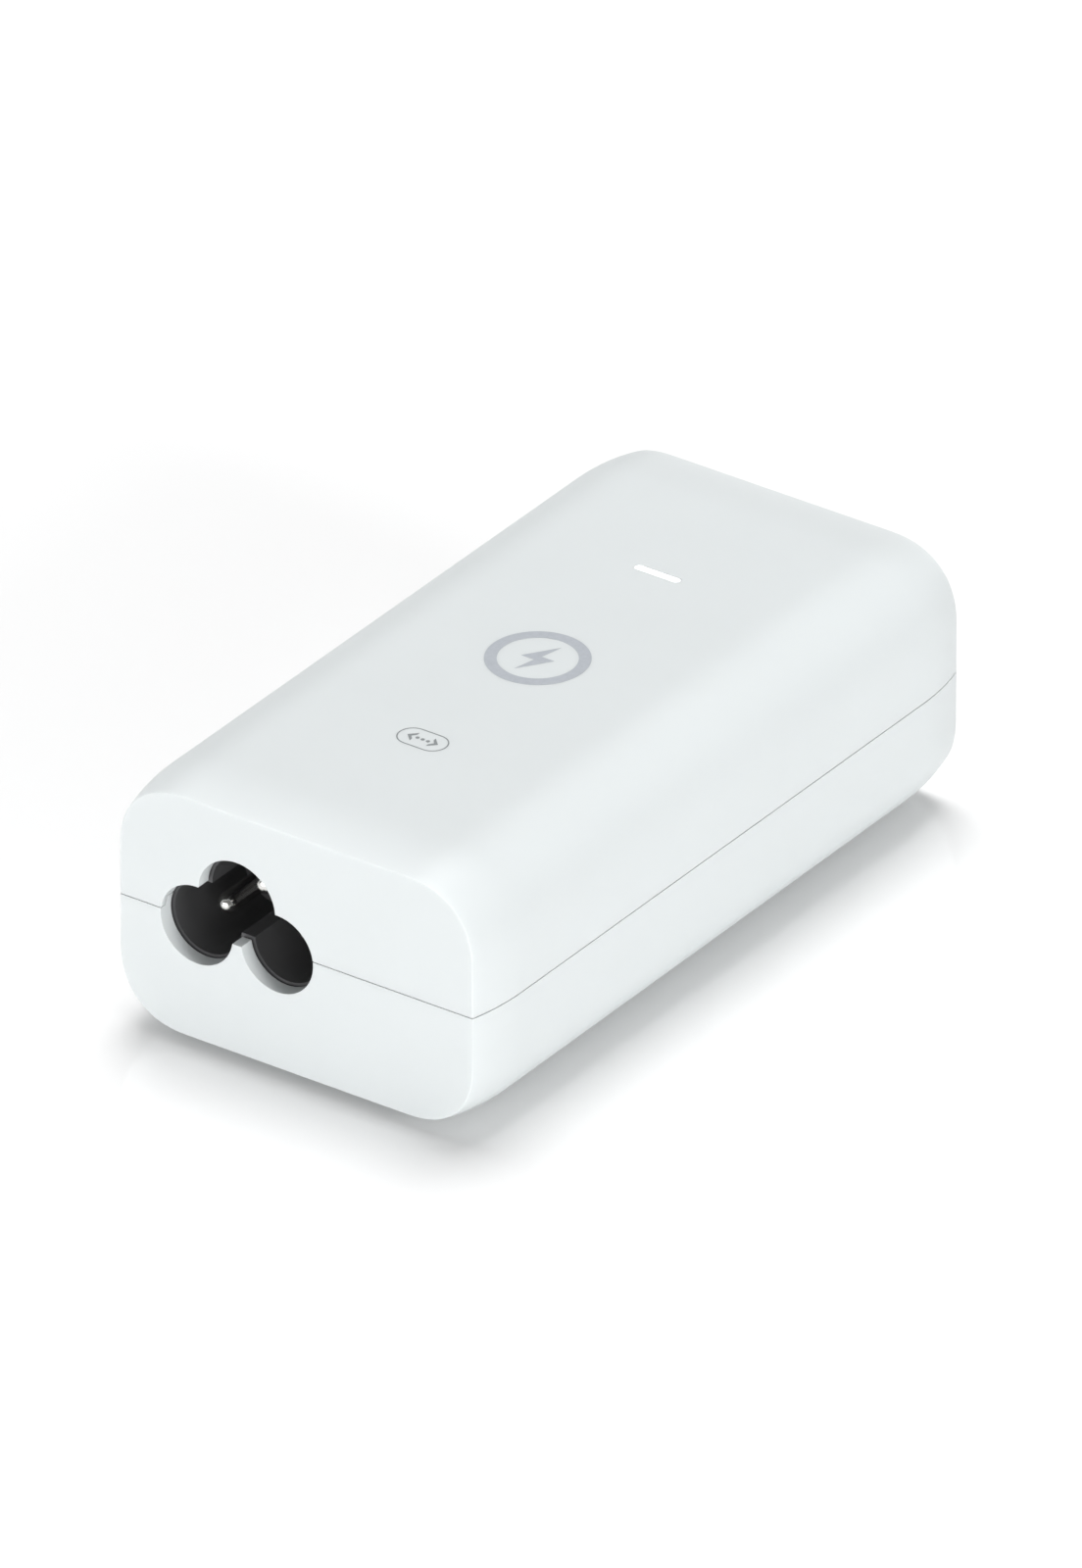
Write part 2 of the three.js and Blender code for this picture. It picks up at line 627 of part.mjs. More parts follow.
function makeTransformer() {
  const { width, length, height, leg, centreLeg } = CORE_SIZE;
  const lift = 1.2;
  const windows = [-1, 1].map((side) => {
    const [x0, x1] = [side * (centreLeg / 2), side * (width / 2 - leg)].sort((a, b) => a - b);
    return block([x0, x1], [-10, 10], [lift + leg, lift + height - leg]);
  });
  const core = cut(post(width, length, height, lift), ...windows);
  const gap = 0.2;
  const inside = [centreLeg + 2 * gap, length + 2 * gap];
  const tube = [inside[0] + 1.2, inside[1] + 1.6];
  const low = lift + leg + gap;
  const high = lift + height - leg - gap;
  const flange = 0.9;
  const bobbin = cut(
    join(
      post(width - 2 * leg - 2 * gap, 15.6, flange, low),
      post(width - 2 * leg - 2 * gap, 15.6, flange, high - flange),
      post(...tube, high - low, low),
      post(11.6, 3, low - 0.1, 0, 0, 6.3),
      post(11.6, 3, low - 0.1, 0, 0, -6.3),
      post(4, 3, flange + 0.5, low - 0.4, 0, 6.3),
      post(4, 3, flange + 0.5, low - 0.4, 0, -6.3),
    ),
    post(...inside, 40, -10),
  );
  const coilOutline = roundedRectangle(width - 2 * leg - 0.8, 14.6, 2);
  const coil = prismZ(coilOutline, low + flange + gap, high - flange - gap);
  const winding = cut(coil, post(tube[0] + 2 * gap, tube[1] + 2 * gap, 40, -10));
  return onBoard(
    8.4,
    1.6,
    piece("transformer_core", core, MATERIAL.ferrite),
    piece("transformer_bobbin", bobbin, MATERIAL.black),
    piece("transformer_winding", winding, MATERIAL.tape),
  );
}

// The power transistor, screwed to its heat sink.
const HEAT_SINK = { width: 15, thickness: 1.5, height: 19.4, fold: 4.2, screwZ: 15, hole: 1.75 };
const TRANSISTOR = { width: 10, tab: 1.2, height: 14.5, body: 8.6, bodyLength: 3.2, base: 3, pitch: 2.54 };

function heatSink() {
  const { width, thickness, height, fold, screwZ, hole } = HEAT_SINK;
  const plate = post(width, thickness, height - 0.4, 0.4);
  const foldedTop = post(width, fold, thickness, height - thickness, 0, (thickness - fold) / 2);
  const feet = [-1, 1].map((side) => post(1.4, thickness, 0.6, 0, side * 5.5));
  return cut(join(plate, foldedTop, ...feet), rodY(hole, -5, 5, 0, screwZ, SMALL_ROUND));
}

function transistor() {
  const { width, tab, height, body, bodyLength, base, pitch } = TRANSISTOR;
  const moulding = prismZ(roundedRectangle(width, bodyLength, 0.3), 0, body, 2).translate(0, -1.9, 0);
  const leads = [-pitch, 0, pitch].map((x) => post(0.9, 0.6, base + 0.5, 0.2 - base, x, -1.6));
  const hole = rodY(HEAT_SINK.hole, -5, 5, 0, HEAT_SINK.screwZ - base, SMALL_ROUND);
  return cut(join(post(width, tab, height), moulding, ...leads), hole);
}

function makePowerSwitch() {
  const gap = 0.1;
  const tabY = -HEAT_SINK.thickness / 2 - gap - TRANSISTOR.tab / 2;
  const headY = tabY - TRANSISTOR.tab / 2 - gap;
  const head = [[0, headY - 1.8], [1.4, headY - 1.8], [2.7, headY - 1], [2.7, headY]];
  const screw = turnedY([...head, [1.5, headY], [1.5, 1], [0, 1]]);
  const pieces = [
    piece("heat_sink", heatSink(), MATERIAL.aluminium),
    piece("power_transistor", transistor(), MATERIAL.black),
    piece("heat_sink_screw", screw, MATERIAL.nickel),
  ];
  pieces[1].position.set(0, tabY, TRANSISTOR.base);
  pieces[2].position.set(0, 0, HEAT_SINK.screwZ);
  return onBoard(9.8, -8.6, ...pieces);
}

function makeOutputParts() {
  const outputCan = turnedZ(canProfile(4.9, 15.5));
  const spool = [[4.6, 0], [4.6, 1.2], [3.4, 1.2], [3.4, 4.6], [4.6, 4.6], [4.6, 5.8]];
  const drum = turnedZ([[0, 0], ...spool, [0, 5.8]]);
  return [
    onBoard(-13.2, 15.6, piece("output_capacitor_1", outputCan, MATERIAL.sleeve)),
    onBoard(13.2, 15.8, piece("output_capacitor_2", outputCan, MATERIAL.sleeve)),
    onBoard(-3.2, 14.8, piece("output_inductor", drum, MATERIAL.ferrite)),
    onBoard(5, 15.2, piece("safety_capacitor", discBody(3, 2.4, 2), MATERIAL.blue)),
    onBoard(10.9, 24.2, piece("line_transformer", moulded(12.8, 5.2, 0.3, 0.4, 5.6), MATERIAL.black)),
    onBoard(-9.4, 24.4, piece("controller_chip", moulded(8, 4, 0.2, 0.2, 1.8), MATERIAL.black)),
    onBoard(0.5, 7.6, piece("optocoupler", moulded(3.4, 4.6, 0.2, 0.3, 3.6), MATERIAL.black)),
  ];
}

// ---- The injector --------------------------------------------------------------------------------------

const injector = new THREE.Group();
injector.name = "poe_injector";
injector.add(makeCase(), makeFeet(), makeStatusLight(), makeInlet(), ...makeJacks(), makeBoard());
injector.add(...makeMainsParts(), makeTransformer(), makePowerSwitch(), ...makeOutputParts());

export default injector;
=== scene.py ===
import json
import math

import bmesh
import bpy
from mathutils import Matrix, Vector


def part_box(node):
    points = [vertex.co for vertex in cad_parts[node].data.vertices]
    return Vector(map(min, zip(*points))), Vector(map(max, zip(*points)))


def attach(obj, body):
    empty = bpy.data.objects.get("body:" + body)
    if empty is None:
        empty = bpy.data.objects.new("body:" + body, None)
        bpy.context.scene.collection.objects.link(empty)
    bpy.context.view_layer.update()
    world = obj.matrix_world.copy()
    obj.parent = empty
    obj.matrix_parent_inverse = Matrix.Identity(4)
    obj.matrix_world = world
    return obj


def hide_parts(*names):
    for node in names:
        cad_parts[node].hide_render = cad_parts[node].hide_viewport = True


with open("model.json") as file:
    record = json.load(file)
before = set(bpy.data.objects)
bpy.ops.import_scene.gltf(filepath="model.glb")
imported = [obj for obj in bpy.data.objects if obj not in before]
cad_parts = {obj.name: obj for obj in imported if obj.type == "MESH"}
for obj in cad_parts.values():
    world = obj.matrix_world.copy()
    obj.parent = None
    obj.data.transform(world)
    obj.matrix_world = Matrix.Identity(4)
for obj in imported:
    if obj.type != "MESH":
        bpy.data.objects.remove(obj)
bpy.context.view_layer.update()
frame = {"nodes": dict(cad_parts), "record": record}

# Lengths are in millimetres in the row's frame, unless a comment says metres. MM turns them into metres.
MM = 0.001
SAME_POINT = 0.002  # points closer than this are joined


def cad(node):
    """The lowest and highest corner of a CAD node, in millimetres."""
    lo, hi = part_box(node)
    return lo / MM, hi / MM


# ---- Where the CAD says things are ----------------------------------------------------------------------

LO, HI = cad("lower_shell")[0], cad("upper_shell")[1]
WIDTH, LENGTH, HEIGHT = HI.x - LO.x, HI.y - LO.y, HI.z - LO.z
SPLIT = (LO.z + HI.z) / 2
BOARD_LO, BOARD_HI = cad("main_board")

PIN_RADIUS = 1.15
INLET_LO, INLET_HI = cad("inlet_housing")
INLET_X = (INLET_LO.x + INLET_HI.x) / 2
POLE_Z = (cad("line_pin")[1].z + cad("neutral_pin")[1].z) / 2 - PIN_RADIUS

BAR_LO, BAR_HI = cad("light_bar")
BAR_Y = (BAR_LO.y + BAR_HI.y) / 2

JACKS = {"power": cad("power_jack_shield"), "data": cad("data_jack_shield")}
JACK_BASE = cad("power_jack_housing")[0].z

FEET = ("front_left", "front_right", "rear_left", "rear_right")

# The same forms as in the CAD, made finer here
CORNER, EXPONENT = 9.2, 2.31  # of the case's section, and an exponent of 2 is a circle
END_STRETCH, INSET_X, INSET_Z = 7.4, 0.98, 0.89  # where the case draws in towards each end, and by how much
WALL, END_WALL = 2.0, 1.8
SUPPORTS_Y, SUPPORT_WIDTH = (-24.2, 0.0, 24.2), 1.6  # the ledges under the board and the ribs over it
FOOT_ROOM = 0.15  # round a foot in its pocket
WINDOW_ROOM = 0.2  # round a jack in its window
LOBE, EARTH_LOBE, POLE_PITCH, EARTH_RISE, NOTCH = 4.5, 4.8, 10.0, 4.2, -0.7
INLET_RIM = 0.3  # of the housing that shows inside the opening in the case
BAR_LENGTH, BAR_WIDTH = 5.6, 1.0

# Gaps that are closer here than the CAD's solids may come
GAP = 0.11  # between the two halves
BAR_GAP = 0.06  # round the light bar
INK_ROOM = 0.02  # the case is this much lower than the CAD's box, which leaves room for the printed signs

# ---- Mesh helpers ---------------------------------------------------------------------------------------


def new_object(name, bm):
    """An object from a bmesh in millimetres, with its faces turned outward."""
    bmesh.ops.recalc_face_normals(bm, faces=bm.faces)
    bmesh.ops.scale(bm, vec=(MM, MM, MM), verts=bm.verts)
    mesh = bpy.data.meshes.new(name)
    bm.to_mesh(mesh)
    bm.free()
    obj = bpy.data.objects.new(name, mesh)
    bpy.context.scene.collection.objects.link(obj)
    return obj


def flatten(obj):
    """Applies an object's modifiers."""
    graph = bpy.context.evaluated_depsgraph_get()
    mesh = bpy.data.meshes.new_from_object(obj.evaluated_get(graph))
    obj.modifiers.clear()
    obj.data = mesh
    return obj


def boolean(obj, tools, operation="DIFFERENCE"):
    """Cuts obj by the tools, or joins or crosses it with them, and uses them up."""
    for tool in tools:
        mod = obj.modifiers.new("boolean", "BOOLEAN")
        mod.object, mod.operation, mod.solver = tool, operation, "MANIFOLD"
        flatten(obj)
        bpy.data.objects.remove(tool)
    return obj


def loft(name, rings, closed=False):
    """A skin over rings of the same number of points, with flat caps unless the rings close on themselves."""
    bm = bmesh.new()
    rows = [[bm.verts.new(p) for p in ring] for ring in rings]
    count = len(rows[0])
    pairs = list(zip(rows, rows[1:])) + ([(rows[-1], rows[0])] if closed else [])
    for a, b in pairs:
        for i in range(count):
            j = (i + 1) % count
            bm.faces.new((a[i], a[j], b[j], b[i]))
    if not closed:
        bm.faces.new(rows[0][::-1])
        bm.faces.new(rows[-1])
    return new_object(name, bm)


def prism(name, outline, low, high, axis="Z"):
    """An outline extruded along Z from (x, y) points, or along Y from (x, z) points."""
    if axis == "Y":
        return loft(name, [[(u, w, v) for u, v in outline] for w in (low, high)])
    return loft(name, [[(u, v, w) for u, v in outline] for w in (low, high)])


def block(name, x, y, z):
    """A box from its (low, high) along each axis."""
    return prism(name, [(x[0], y[0]), (x[1], y[0]), (x[1], y[1]), (x[0], y[1])], *z)


def arc(cx, cy, radius, start, end, steps):
    """Points on an arc, with its angles in degrees."""
    angles = [math.radians(start + (end - start) * k / steps) for k in range(steps + 1)]
    return [(cx + radius * math.cos(a), cy + radius * math.sin(a)) for a in angles]


def rounded(width, height, radius, cx=0, cy=0, steps=8):
    """The outline of a rectangle with round corners."""
    x, y = width / 2 - radius, height / 2 - radius
    corners = ((x, y, 0), (-x, y, 90), (-x, -y, 180), (x, -y, 270))
    return [p for ox, oy, a in corners for p in arc(cx + ox, cy + oy, radius, a, a + 90, steps)]


def turned(name, profile, axis="Z", centre=(0, 0, 0), steps=64):
    """A turned piece from (radius, height) pairs, which start and end on the axis."""
    bm = bmesh.new()
    circle = [(math.cos(2 * math.pi * k / steps), math.sin(2 * math.pi * k / steps)) for k in range(steps)]
    rows = []
    for r, h in profile:
        points = [(0, 0, h)] if r < 1e-6 else [(r * u, r * v, h) for u, v in circle]
        rows.append([bm.verts.new(p) for p in points])
    for a, b in zip(rows, rows[1:]):
        for k in range(steps):
            n = (k + 1) % steps
            if len(a) == 1:
                bm.faces.new((a[0], b[n], b[k]))
            elif len(b) == 1:
                bm.faces.new((a[k], a[n], b[0]))
            else:
                bm.faces.new((a[k], a[n], b[n], b[k]))
    if axis == "Y":
        bmesh.ops.rotate(bm, verts=bm.verts, matrix=Matrix.Rotation(-math.pi / 2, 3, "X"))
    bmesh.ops.translate(bm, verts=bm.verts, vec=centre)
    return new_object(name, bm)


def softened(obj, width, segments=2, angle=30, weigh=None):
    """Rounds an object's sharp edges and shades it smooth.

    weigh takes the middle of an edge, in millimetres, and gives the share of the width that it is rounded by.
    """
    bm = bmesh.new()
    bm.from_mesh(obj.data)
    bmesh.ops.remove_doubles(bm, verts=bm.verts, dist=SAME_POINT * MM)
    bmesh.ops.dissolve_degenerate(bm, edges=bm.edges, dist=SAME_POINT * MM)
    layer = bm.edges.layers.float.new("bevel_weight_edge")
    for edge in bm.edges:
        sharp = len(edge.link_faces) == 2 and edge.calc_face_angle(0) > math.radians(angle)
        if sharp:
            middle = (edge.verts[0].co + edge.verts[1].co) / 2 / MM
            edge[layer] = weigh(middle) if weigh else 1.0
    for face in bm.faces:
        face.smooth = True
    bm.to_mesh(obj.data)
    bm.free()
    mod = obj.modifiers.new("edges", "BEVEL")
    mod.width, mod.segments, mod.limit_method = width * MM, segments, "WEIGHT"
    mod.use_clamp_overlap, mod.miter_outer = True, "MITER_ARC"
    smooth = obj.modifiers.new("normals", "WEIGHTED_NORMAL")
    smooth.mode, smooth.weight, smooth.keep_sharp = "FACE_AREA", 100, False
    return obj


def finish_piece(obj, surface, slot, *nodes):
    """Gives a piece its material and its body, and hides the CAD nodes that it stands for."""
    obj.data.materials.clear()
    obj.data.materials.append(surface)
    for polygon in obj.data.polygons:
        polygon.material_index = 0
    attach(obj, "root")
    if nodes:
        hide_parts(*nodes)
    return obj


# ---- Materials ------------------------------------------------------------------------------------------


class Nodes:
    """A short way to lay out one material's nodes."""

    def __init__(self, name):
        self.material = bpy.data.materials.new(name)
        self.material.use_nodes = True
        self.tree = self.material.node_tree
        self.shader = self.tree.nodes["Principled BSDF"]
        self.place = self.add("ShaderNodeTexCoord").outputs["Object"]

    def add(self, kind, **values):
        node = self.tree.nodes.new(kind)
        for key, value in values.items():
            setattr(node, key, value)
        return node

    def link(self, source, target):
        self.tree.links.new(source, target)

    def noise(self, size, detail=3.0, roughness=0.5, stretch=(1, 1, 1)):
        """Noise whose lumps are about size millimetres across."""
        mapping = self.add("ShaderNodeMapping")
        mapping.inputs["Scale"].default_value = [s / (size * MM) for s in stretch]
        self.link(self.place, mapping.inputs["Vector"])
        node = self.add("ShaderNodeTexNoise")
        node.inputs["Scale"].default_value = 1.0
        node.inputs["Detail"].default_value = detail
        node.inputs["Roughness"].default_value = roughness
        self.link(mapping.outputs["Vector"], node.inputs["Vector"])
        return node.outputs["Fac"]

    def ramp(self, value, low, high, positions=(0.3, 0.7)):
        """Two colours across a value."""
        node = self.add("ShaderNodeValToRGB")
        for element, position, colour in zip(node.color_ramp.elements, positions, (low, high)):
            element.position = position
            element.color = (*colour, 1)
        self.link(value, node.inputs["Fac"])
        return node.outputs["Color"]

    def span(self, value, low, high, source=(0.3, 0.7)):
        """A value stretched to run from low to high."""
        node = self.add("ShaderNodeMapRange")
        for key, number in zip(("From Min", "From Max", "To Min", "To Max"), (*source, low, high)):
            node.inputs[key].default_value = number
        self.link(value, node.inputs["Value"])
        return node.outputs["Result"]

    def mix(self, factor, a, b):
        node = self.add("ShaderNodeMix", data_type="RGBA")
        self.link(factor, node.inputs["Factor"])
        for source, socket in ((a, node.inputs["A"]), (b, node.inputs["B"])):
            if isinstance(source, tuple):
                socket.default_value = (*source, 1)
            else:
                self.link(source, socket)
        return node.outputs["Result"]

    def edges(self, radius, low=0.02, high=0.25):
        """1 on edges rounder than the surface round them, and 0 on flats."""
        bevel = self.add("ShaderNodeBevel", samples=4)
        bevel.inputs["Radius"].default_value = radius * MM
        normal = self.add("ShaderNodeNewGeometry").outputs["Normal"]
        dot = self.add("ShaderNodeVectorMath", operation="DOT_PRODUCT")
        self.link(bevel.outputs["Normal"], dot.inputs[0])
        self.link(normal, dot.inputs[1])
        return self.span(dot.outputs["Value"], 0, 1, (1 - low, 1 - high))

    def bump(self, *layers):
        """Bumps laid on each other, each (height, depth in millimetres, strength)."""
        normal = None
        for height, depth, strength in layers:
            node = self.add("ShaderNodeBump")
            node.inputs["Strength"].default_value = strength
            node.inputs["Distance"].default_value = depth * MM
            self.link(height, node.inputs["Height"])
            if normal:
                self.link(normal, node.inputs["Normal"])
            normal = node.outputs["Normal"]
        self.link(normal, self.shader.inputs["Normal"])

    def set(self, **values):
        for key, value in values.items():
            self.shader.inputs[key.replace("_", " ")].default_value = value
        return self.material

    def colour(self, source):
        self.link(source, self.shader.inputs["Base Color"])

    def roughness(self, source):
        self.link(source, self.shader.inputs["Roughness"])


def shade(colour, factor):
    return tuple(min(1.0, c * factor) for c in colour)


def plastic(name, colour, rough, mottle=0.03, grain=0.16, depth=0.004, wear=0.0, **values):
    """Moulded plastic: faint flow mottling, a fine spark-eroded grain, and rubbed edges."""
    n = Nodes(name)
    flow = n.noise(14, 3)
    base = n.ramp(flow, shade(colour, 1 - mottle), shade(colour, 1 + mottle))
    if wear:
        worn = n.edges(0.25)
        base = n.mix(n.span(worn, 0, wear, (0, 1)), base, shade(colour, 1.6 if max(colour) < 0.4 else 1.08))
    n.colour(base)
    n.roughness(n.span(n.noise(3.5, 5, 0.6), rough - 0.05, rough + 0.05))
    n.bump((n.noise(grain, 2, 0.6), depth, 0.35), (n.noise(7, 2), 0.01, 0.12))
    return n.set(Metallic=0.0, **values)


def metal(name, colour, rough, stretch=(1, 1, 1), scratch=0.5, tarnish=0.12, **values):
    """Plated or rolled metal: fine directional scratches, a cloudy tarnish, and brighter edges."""
    n = Nodes(name)
    cloud = n.noise(2.5, 4, 0.6)
    base = n.ramp(cloud, shade(colour, 1 - tarnish), colour, (0.25, 0.6))
    n.colour(n.mix(n.edges(0.12), base, shade(colour, 1.12)))
    lines = n.noise(scratch, 4, 0.7, stretch)
    n.roughness(n.span(lines, rough * 0.75, rough * 1.35))
    n.bump((lines, 0.003, 0.4), (cloud, 0.004, 0.1))
    return n.set(Metallic=1.0, **values)


def board_laminate(name):
    """Green solder mask over copper tracks, whose edges stand a little proud, with glass weave below."""
    n = Nodes(name)
    mapping = n.add("ShaderNodeMapping")
    mapping.inputs["Scale"].default_value = (1 / (2.2 * MM),) * 3
    n.link(n.place, mapping.inputs["Vector"])
    cells = n.add("ShaderNodeTexVoronoi", distance="CHEBYCHEV", feature="F1")
    cells.inputs["Scale"].default_value = 1.0
    cells.inputs["Randomness"].default_value = 0.75
    n.link(mapping.outputs["Vector"], cells.inputs["Vector"])
    tracks = n.span(cells.outputs["Distance"], 0, 1, (0.30, 0.34))
    weave = n.noise(0.6, 2, 0.5)
    mask = n.ramp(weave, (0.012, 0.09, 0.04), (0.018, 0.12, 0.055))
    n.colour(n.mix(tracks, mask, (0.03, 0.19, 0.09)))
    n.roughness(n.span(weave, 0.28, 0.4))
    n.bump((tracks, 0.035, 0.6), (weave, 0.01, 0.3))
    return n.set(Metallic=0.0)


def case_plastic(name):
    """Satin cool-white ABS with a very fine grain, hardly mottled."""
    n = Nodes(name)
    colour = (0.63, 0.66, 0.665)
    n.colour(n.ramp(n.noise(22, 2), shade(colour, 0.994), shade(colour, 1.006)))
    n.roughness(n.span(n.noise(2.4, 5, 0.6), 0.42, 0.5))
    n.bump((n.noise(0.22, 2, 0.55), 0.004, 0.22), (n.noise(11, 2), 0.012, 0.05))
    n.shader.inputs["Subsurface Radius"].default_value = (1.0, 0.97, 0.94)
    return n.set(Metallic=0.0, Specular_IOR_Level=0.3, Subsurface_Weight=0.3, Subsurface_Scale=1.5 * MM)


def lit_diffuser(name):
    """White plastic with a faint, even glow."""
    n = Nodes(name)
    glow = n.noise(1.6, 2)
    n.colour(n.ramp(glow, (0.9, 0.93, 0.93), (0.97, 0.98, 0.98)))
    n.roughness(n.span(glow, 0.25, 0.35))
    n.bump((n.noise(0.2, 2), 0.003, 0.2))
    n.shader.inputs["Emission Color"].default_value = (0.93, 0.98, 1.0, 1)
    return n.set(Metallic=0.0, Emission_Strength=0.15)


def ink(name, colour):
    """Pad-printed ink, uneven in its cover, which lets a little of the grain through."""
    n = Nodes(name)
    n.colour(n.ramp(n.noise(0.5, 4, 0.7), shade(colour, 0.95), shade(colour, 1.05)))
    n.roughness(n.span(n.noise(0.8, 3), 0.38, 0.5))
    n.bump((n.noise(0.22, 2, 0.55), 0.003, 0.25))
    return n.set(Metallic=0.0)


CASE = case_plastic("case_plastic")
LIT = lit_diffuser("light_diffuser")
INK = ink("printed_ink", (0.39, 0.415, 0.45))
FINE_INK = ink("fine_printed_ink", (0.22, 0.238, 0.243))
BLACK = plastic("black_plastic", (0.07, 0.07, 0.072), 0.42, mottle=0.12, grain=0.2, depth=0.006, wear=0.25)
RUBBER = plastic("foot_rubber", (0.50, 0.51, 0.51), 0.8, mottle=0.06, grain=0.3, depth=0.02, wear=0.2)
NICKEL = metal("nickel_plate", (0.80, 0.79, 0.76), 0.16, stretch=(1, 0.15, 1), scratch=0.25)
STEEL = metal("shield_steel", (0.62, 0.63, 0.64), 0.3, stretch=(1, 0.06, 1), scratch=0.2)
GOLD = metal("gold_plate", (0.86, 0.62, 0.24), 0.2, stretch=(1, 0.1, 1), scratch=0.15)

# ---- Case -----------------------------------------------------------------------------------------------


def case_form(name, inset, length, corner_steps=22, end_steps=10):
    """The case's outer form shrunk by inset. Its corners are superelliptic and its ends draw in on an arc."""
    radius = CORNER - inset
    core = Vector((WIDTH / 2 - CORNER, HEIGHT / 2 - INK_ROOM - CORNER))
    bend = LENGTH / 2 - END_STRETCH
    arc_radius = (END_STRETCH**2 + INSET_X**2) / (2 * INSET_X)
    half = [bend + (length / 2 - bend) * k / end_steps for k in range(end_steps + 1)]
    stations = [-y for y in reversed(half)] + half
    section = []
    for q, (sx, sz) in enumerate(((1, 1), (-1, 1), (-1, -1), (1, -1))):
        for k in range(corner_steps + 1):
            t = (corner_steps - k if q % 2 else k) / corner_steps * math.pi / 2
            reach = [max(f(t), 0.0) ** (2 / EXPONENT) for f in (math.cos, math.sin)]
            section.append((sx, sz, *reach))
    rings = []
    for y in stations:
        along = max(0.0, abs(y) - bend)
        drawn = (arc_radius - math.sqrt(arc_radius**2 - along**2)) / INSET_X
        rx, rz = radius - drawn * INSET_X, radius - drawn * INSET_Z
        ring = [(sx * (core.x + rx * u), y, SPLIT + sz * (core.y + rz * v)) for sx, sz, u, v in section]
        rings.append(ring)
    return loft(name, rings)


def cloverleaf(margin, y0, y1, steps=24):
    """The inlet's outline of three lobes, with the ridge between the lower two, as one prism."""
    half = POLE_PITCH / 2
    live, earth = LOBE + margin, EARTH_LOBE + margin
    notch = NOTCH - margin
    # Where the lower lobes meet the top of the ridge, and where they meet the earth lobe
    inner = half - math.sqrt(live * live - notch * notch)
    apart = math.hypot(half, EARTH_RISE)
    along = (apart * apart + live * live - earth * earth) / (2 * apart)
    across = math.sqrt(live * live - along * along)
    ux, uz = -half / apart, EARTH_RISE / apart
    meet_x, meet_z = half + ux * along + uz * across, uz * along - ux * across
    start = math.degrees(math.atan2(notch, inner - half)) % 360 - 360
    end = math.degrees(math.atan2(meet_z, meet_x - half))
    right = arc(half, 0, live, start, end, steps * 2)
    start = math.degrees(math.atan2(meet_z - EARTH_RISE, meet_x))
    top = arc(0, EARTH_RISE, earth, start, 180 - start, steps * 2)
    left = [(-x, z) for x, z in reversed(right)]
    outline = right + top[1:-1] + left
    return prism("cloverleaf", [(INLET_X + x, POLE_Z + z) for x, z in outline], y0, y1, "Y")


def end_openings():
    """The inlet's hole in one end of the case and the two jack windows in the other."""
    tools = [cloverleaf(0, -LENGTH / 2 - 1, -LENGTH / 2 + 4)]
    for lo, hi in JACKS.values():
        width, height = hi.x - lo.x + 2 * WINDOW_ROOM, hi.z - JACK_BASE + 2 * WINDOW_ROOM
        outline = rounded(width, height, 0.35, (lo.x + hi.x) / 2, JACK_BASE - WINDOW_ROOM + height / 2, 4)
        tools.append(prism("window", outline, LENGTH / 2 - 4, LENGTH / 2 + 1, "Y"))
    return tools


def case_edges(middle):
    """The shares for softened. The rims of the case's ends are rounded most, the light bar's slot least."""
    seam, slot, rim, other = 0.16, 0.12, 1.0, 0.3
    rim_x, rim_z, rim_corner = 2.4, 1.2, 8  # how far in from the sides, the top and the corners a rim can be
    x, y, z = abs(middle.x), abs(middle.y), abs(middle.z - SPLIT)
    if z < 0.2:
        return seam
    if x < BAR_LENGTH and abs(middle.y - BAR_Y) < 2 and middle.z > SPLIT:
        return slot
    if abs(y - LENGTH / 2) < 0.01:
        on_side = x > WIDTH / 2 - rim_x or z > HEIGHT / 2 - rim_z
        on_corner = x > WIDTH / 2 - rim_corner and z > HEIGHT / 2 - rim_corner
        return rim if on_side or on_corner else other
    return other


def slab(tool, low, high):
    """The part of a tool between two heights."""
    far = (-60, 60)
    return boolean(tool, [block("slab", far, far, (low, high))], "INTERSECT")


def hollow():
    """The space inside the case."""
    return case_form("hollow", WALL, LENGTH - 2 * END_WALL, corner_steps=10, end_steps=4)


def foot_shape(where):
    """A foot's centre and radius."""
    low, high = cad(f"foot_{where}")
    return (low + high) / 2, (high.x - low.x) / 2


def make_lower_half():
    """The tub with its tongue, the ledges under the board, and pockets for the feet."""
    lower = slab(case_form("case_lower", 0, LENGTH), -9, SPLIT - GAP / 2)
    inset, end_inset, rise = 1.1, 0.9, 1.1
    tongue = case_form("tongue", inset, LENGTH - 2 * end_inset, corner_steps=12, end_steps=5)
    boolean(lower, [slab(tongue, SPLIT - 1, SPLIT + rise)], "UNION")
    boolean(lower, [hollow()])
    inner, outer, base, reach = 15.2, 18.6, 2.3, SUPPORT_WIDTH / 2
    ledges = [
        block("ledge", sorted((s * inner, s * outer)), (y - reach, y + reach), (base, BOARD_LO.z - 0.05))
        for s in (-1, 1)
        for y in SUPPORTS_Y
    ]
    boolean(lower, ledges, "UNION")
    pockets = []
    for where in FEET:
        centre, radius = foot_shape(where)
        circle = arc(centre.x, centre.y, radius + FOOT_ROOM, 0, 354, 59)
        pockets.append(prism("pocket", circle, -1, 1.2))
    return boolean(lower, pockets + end_openings())


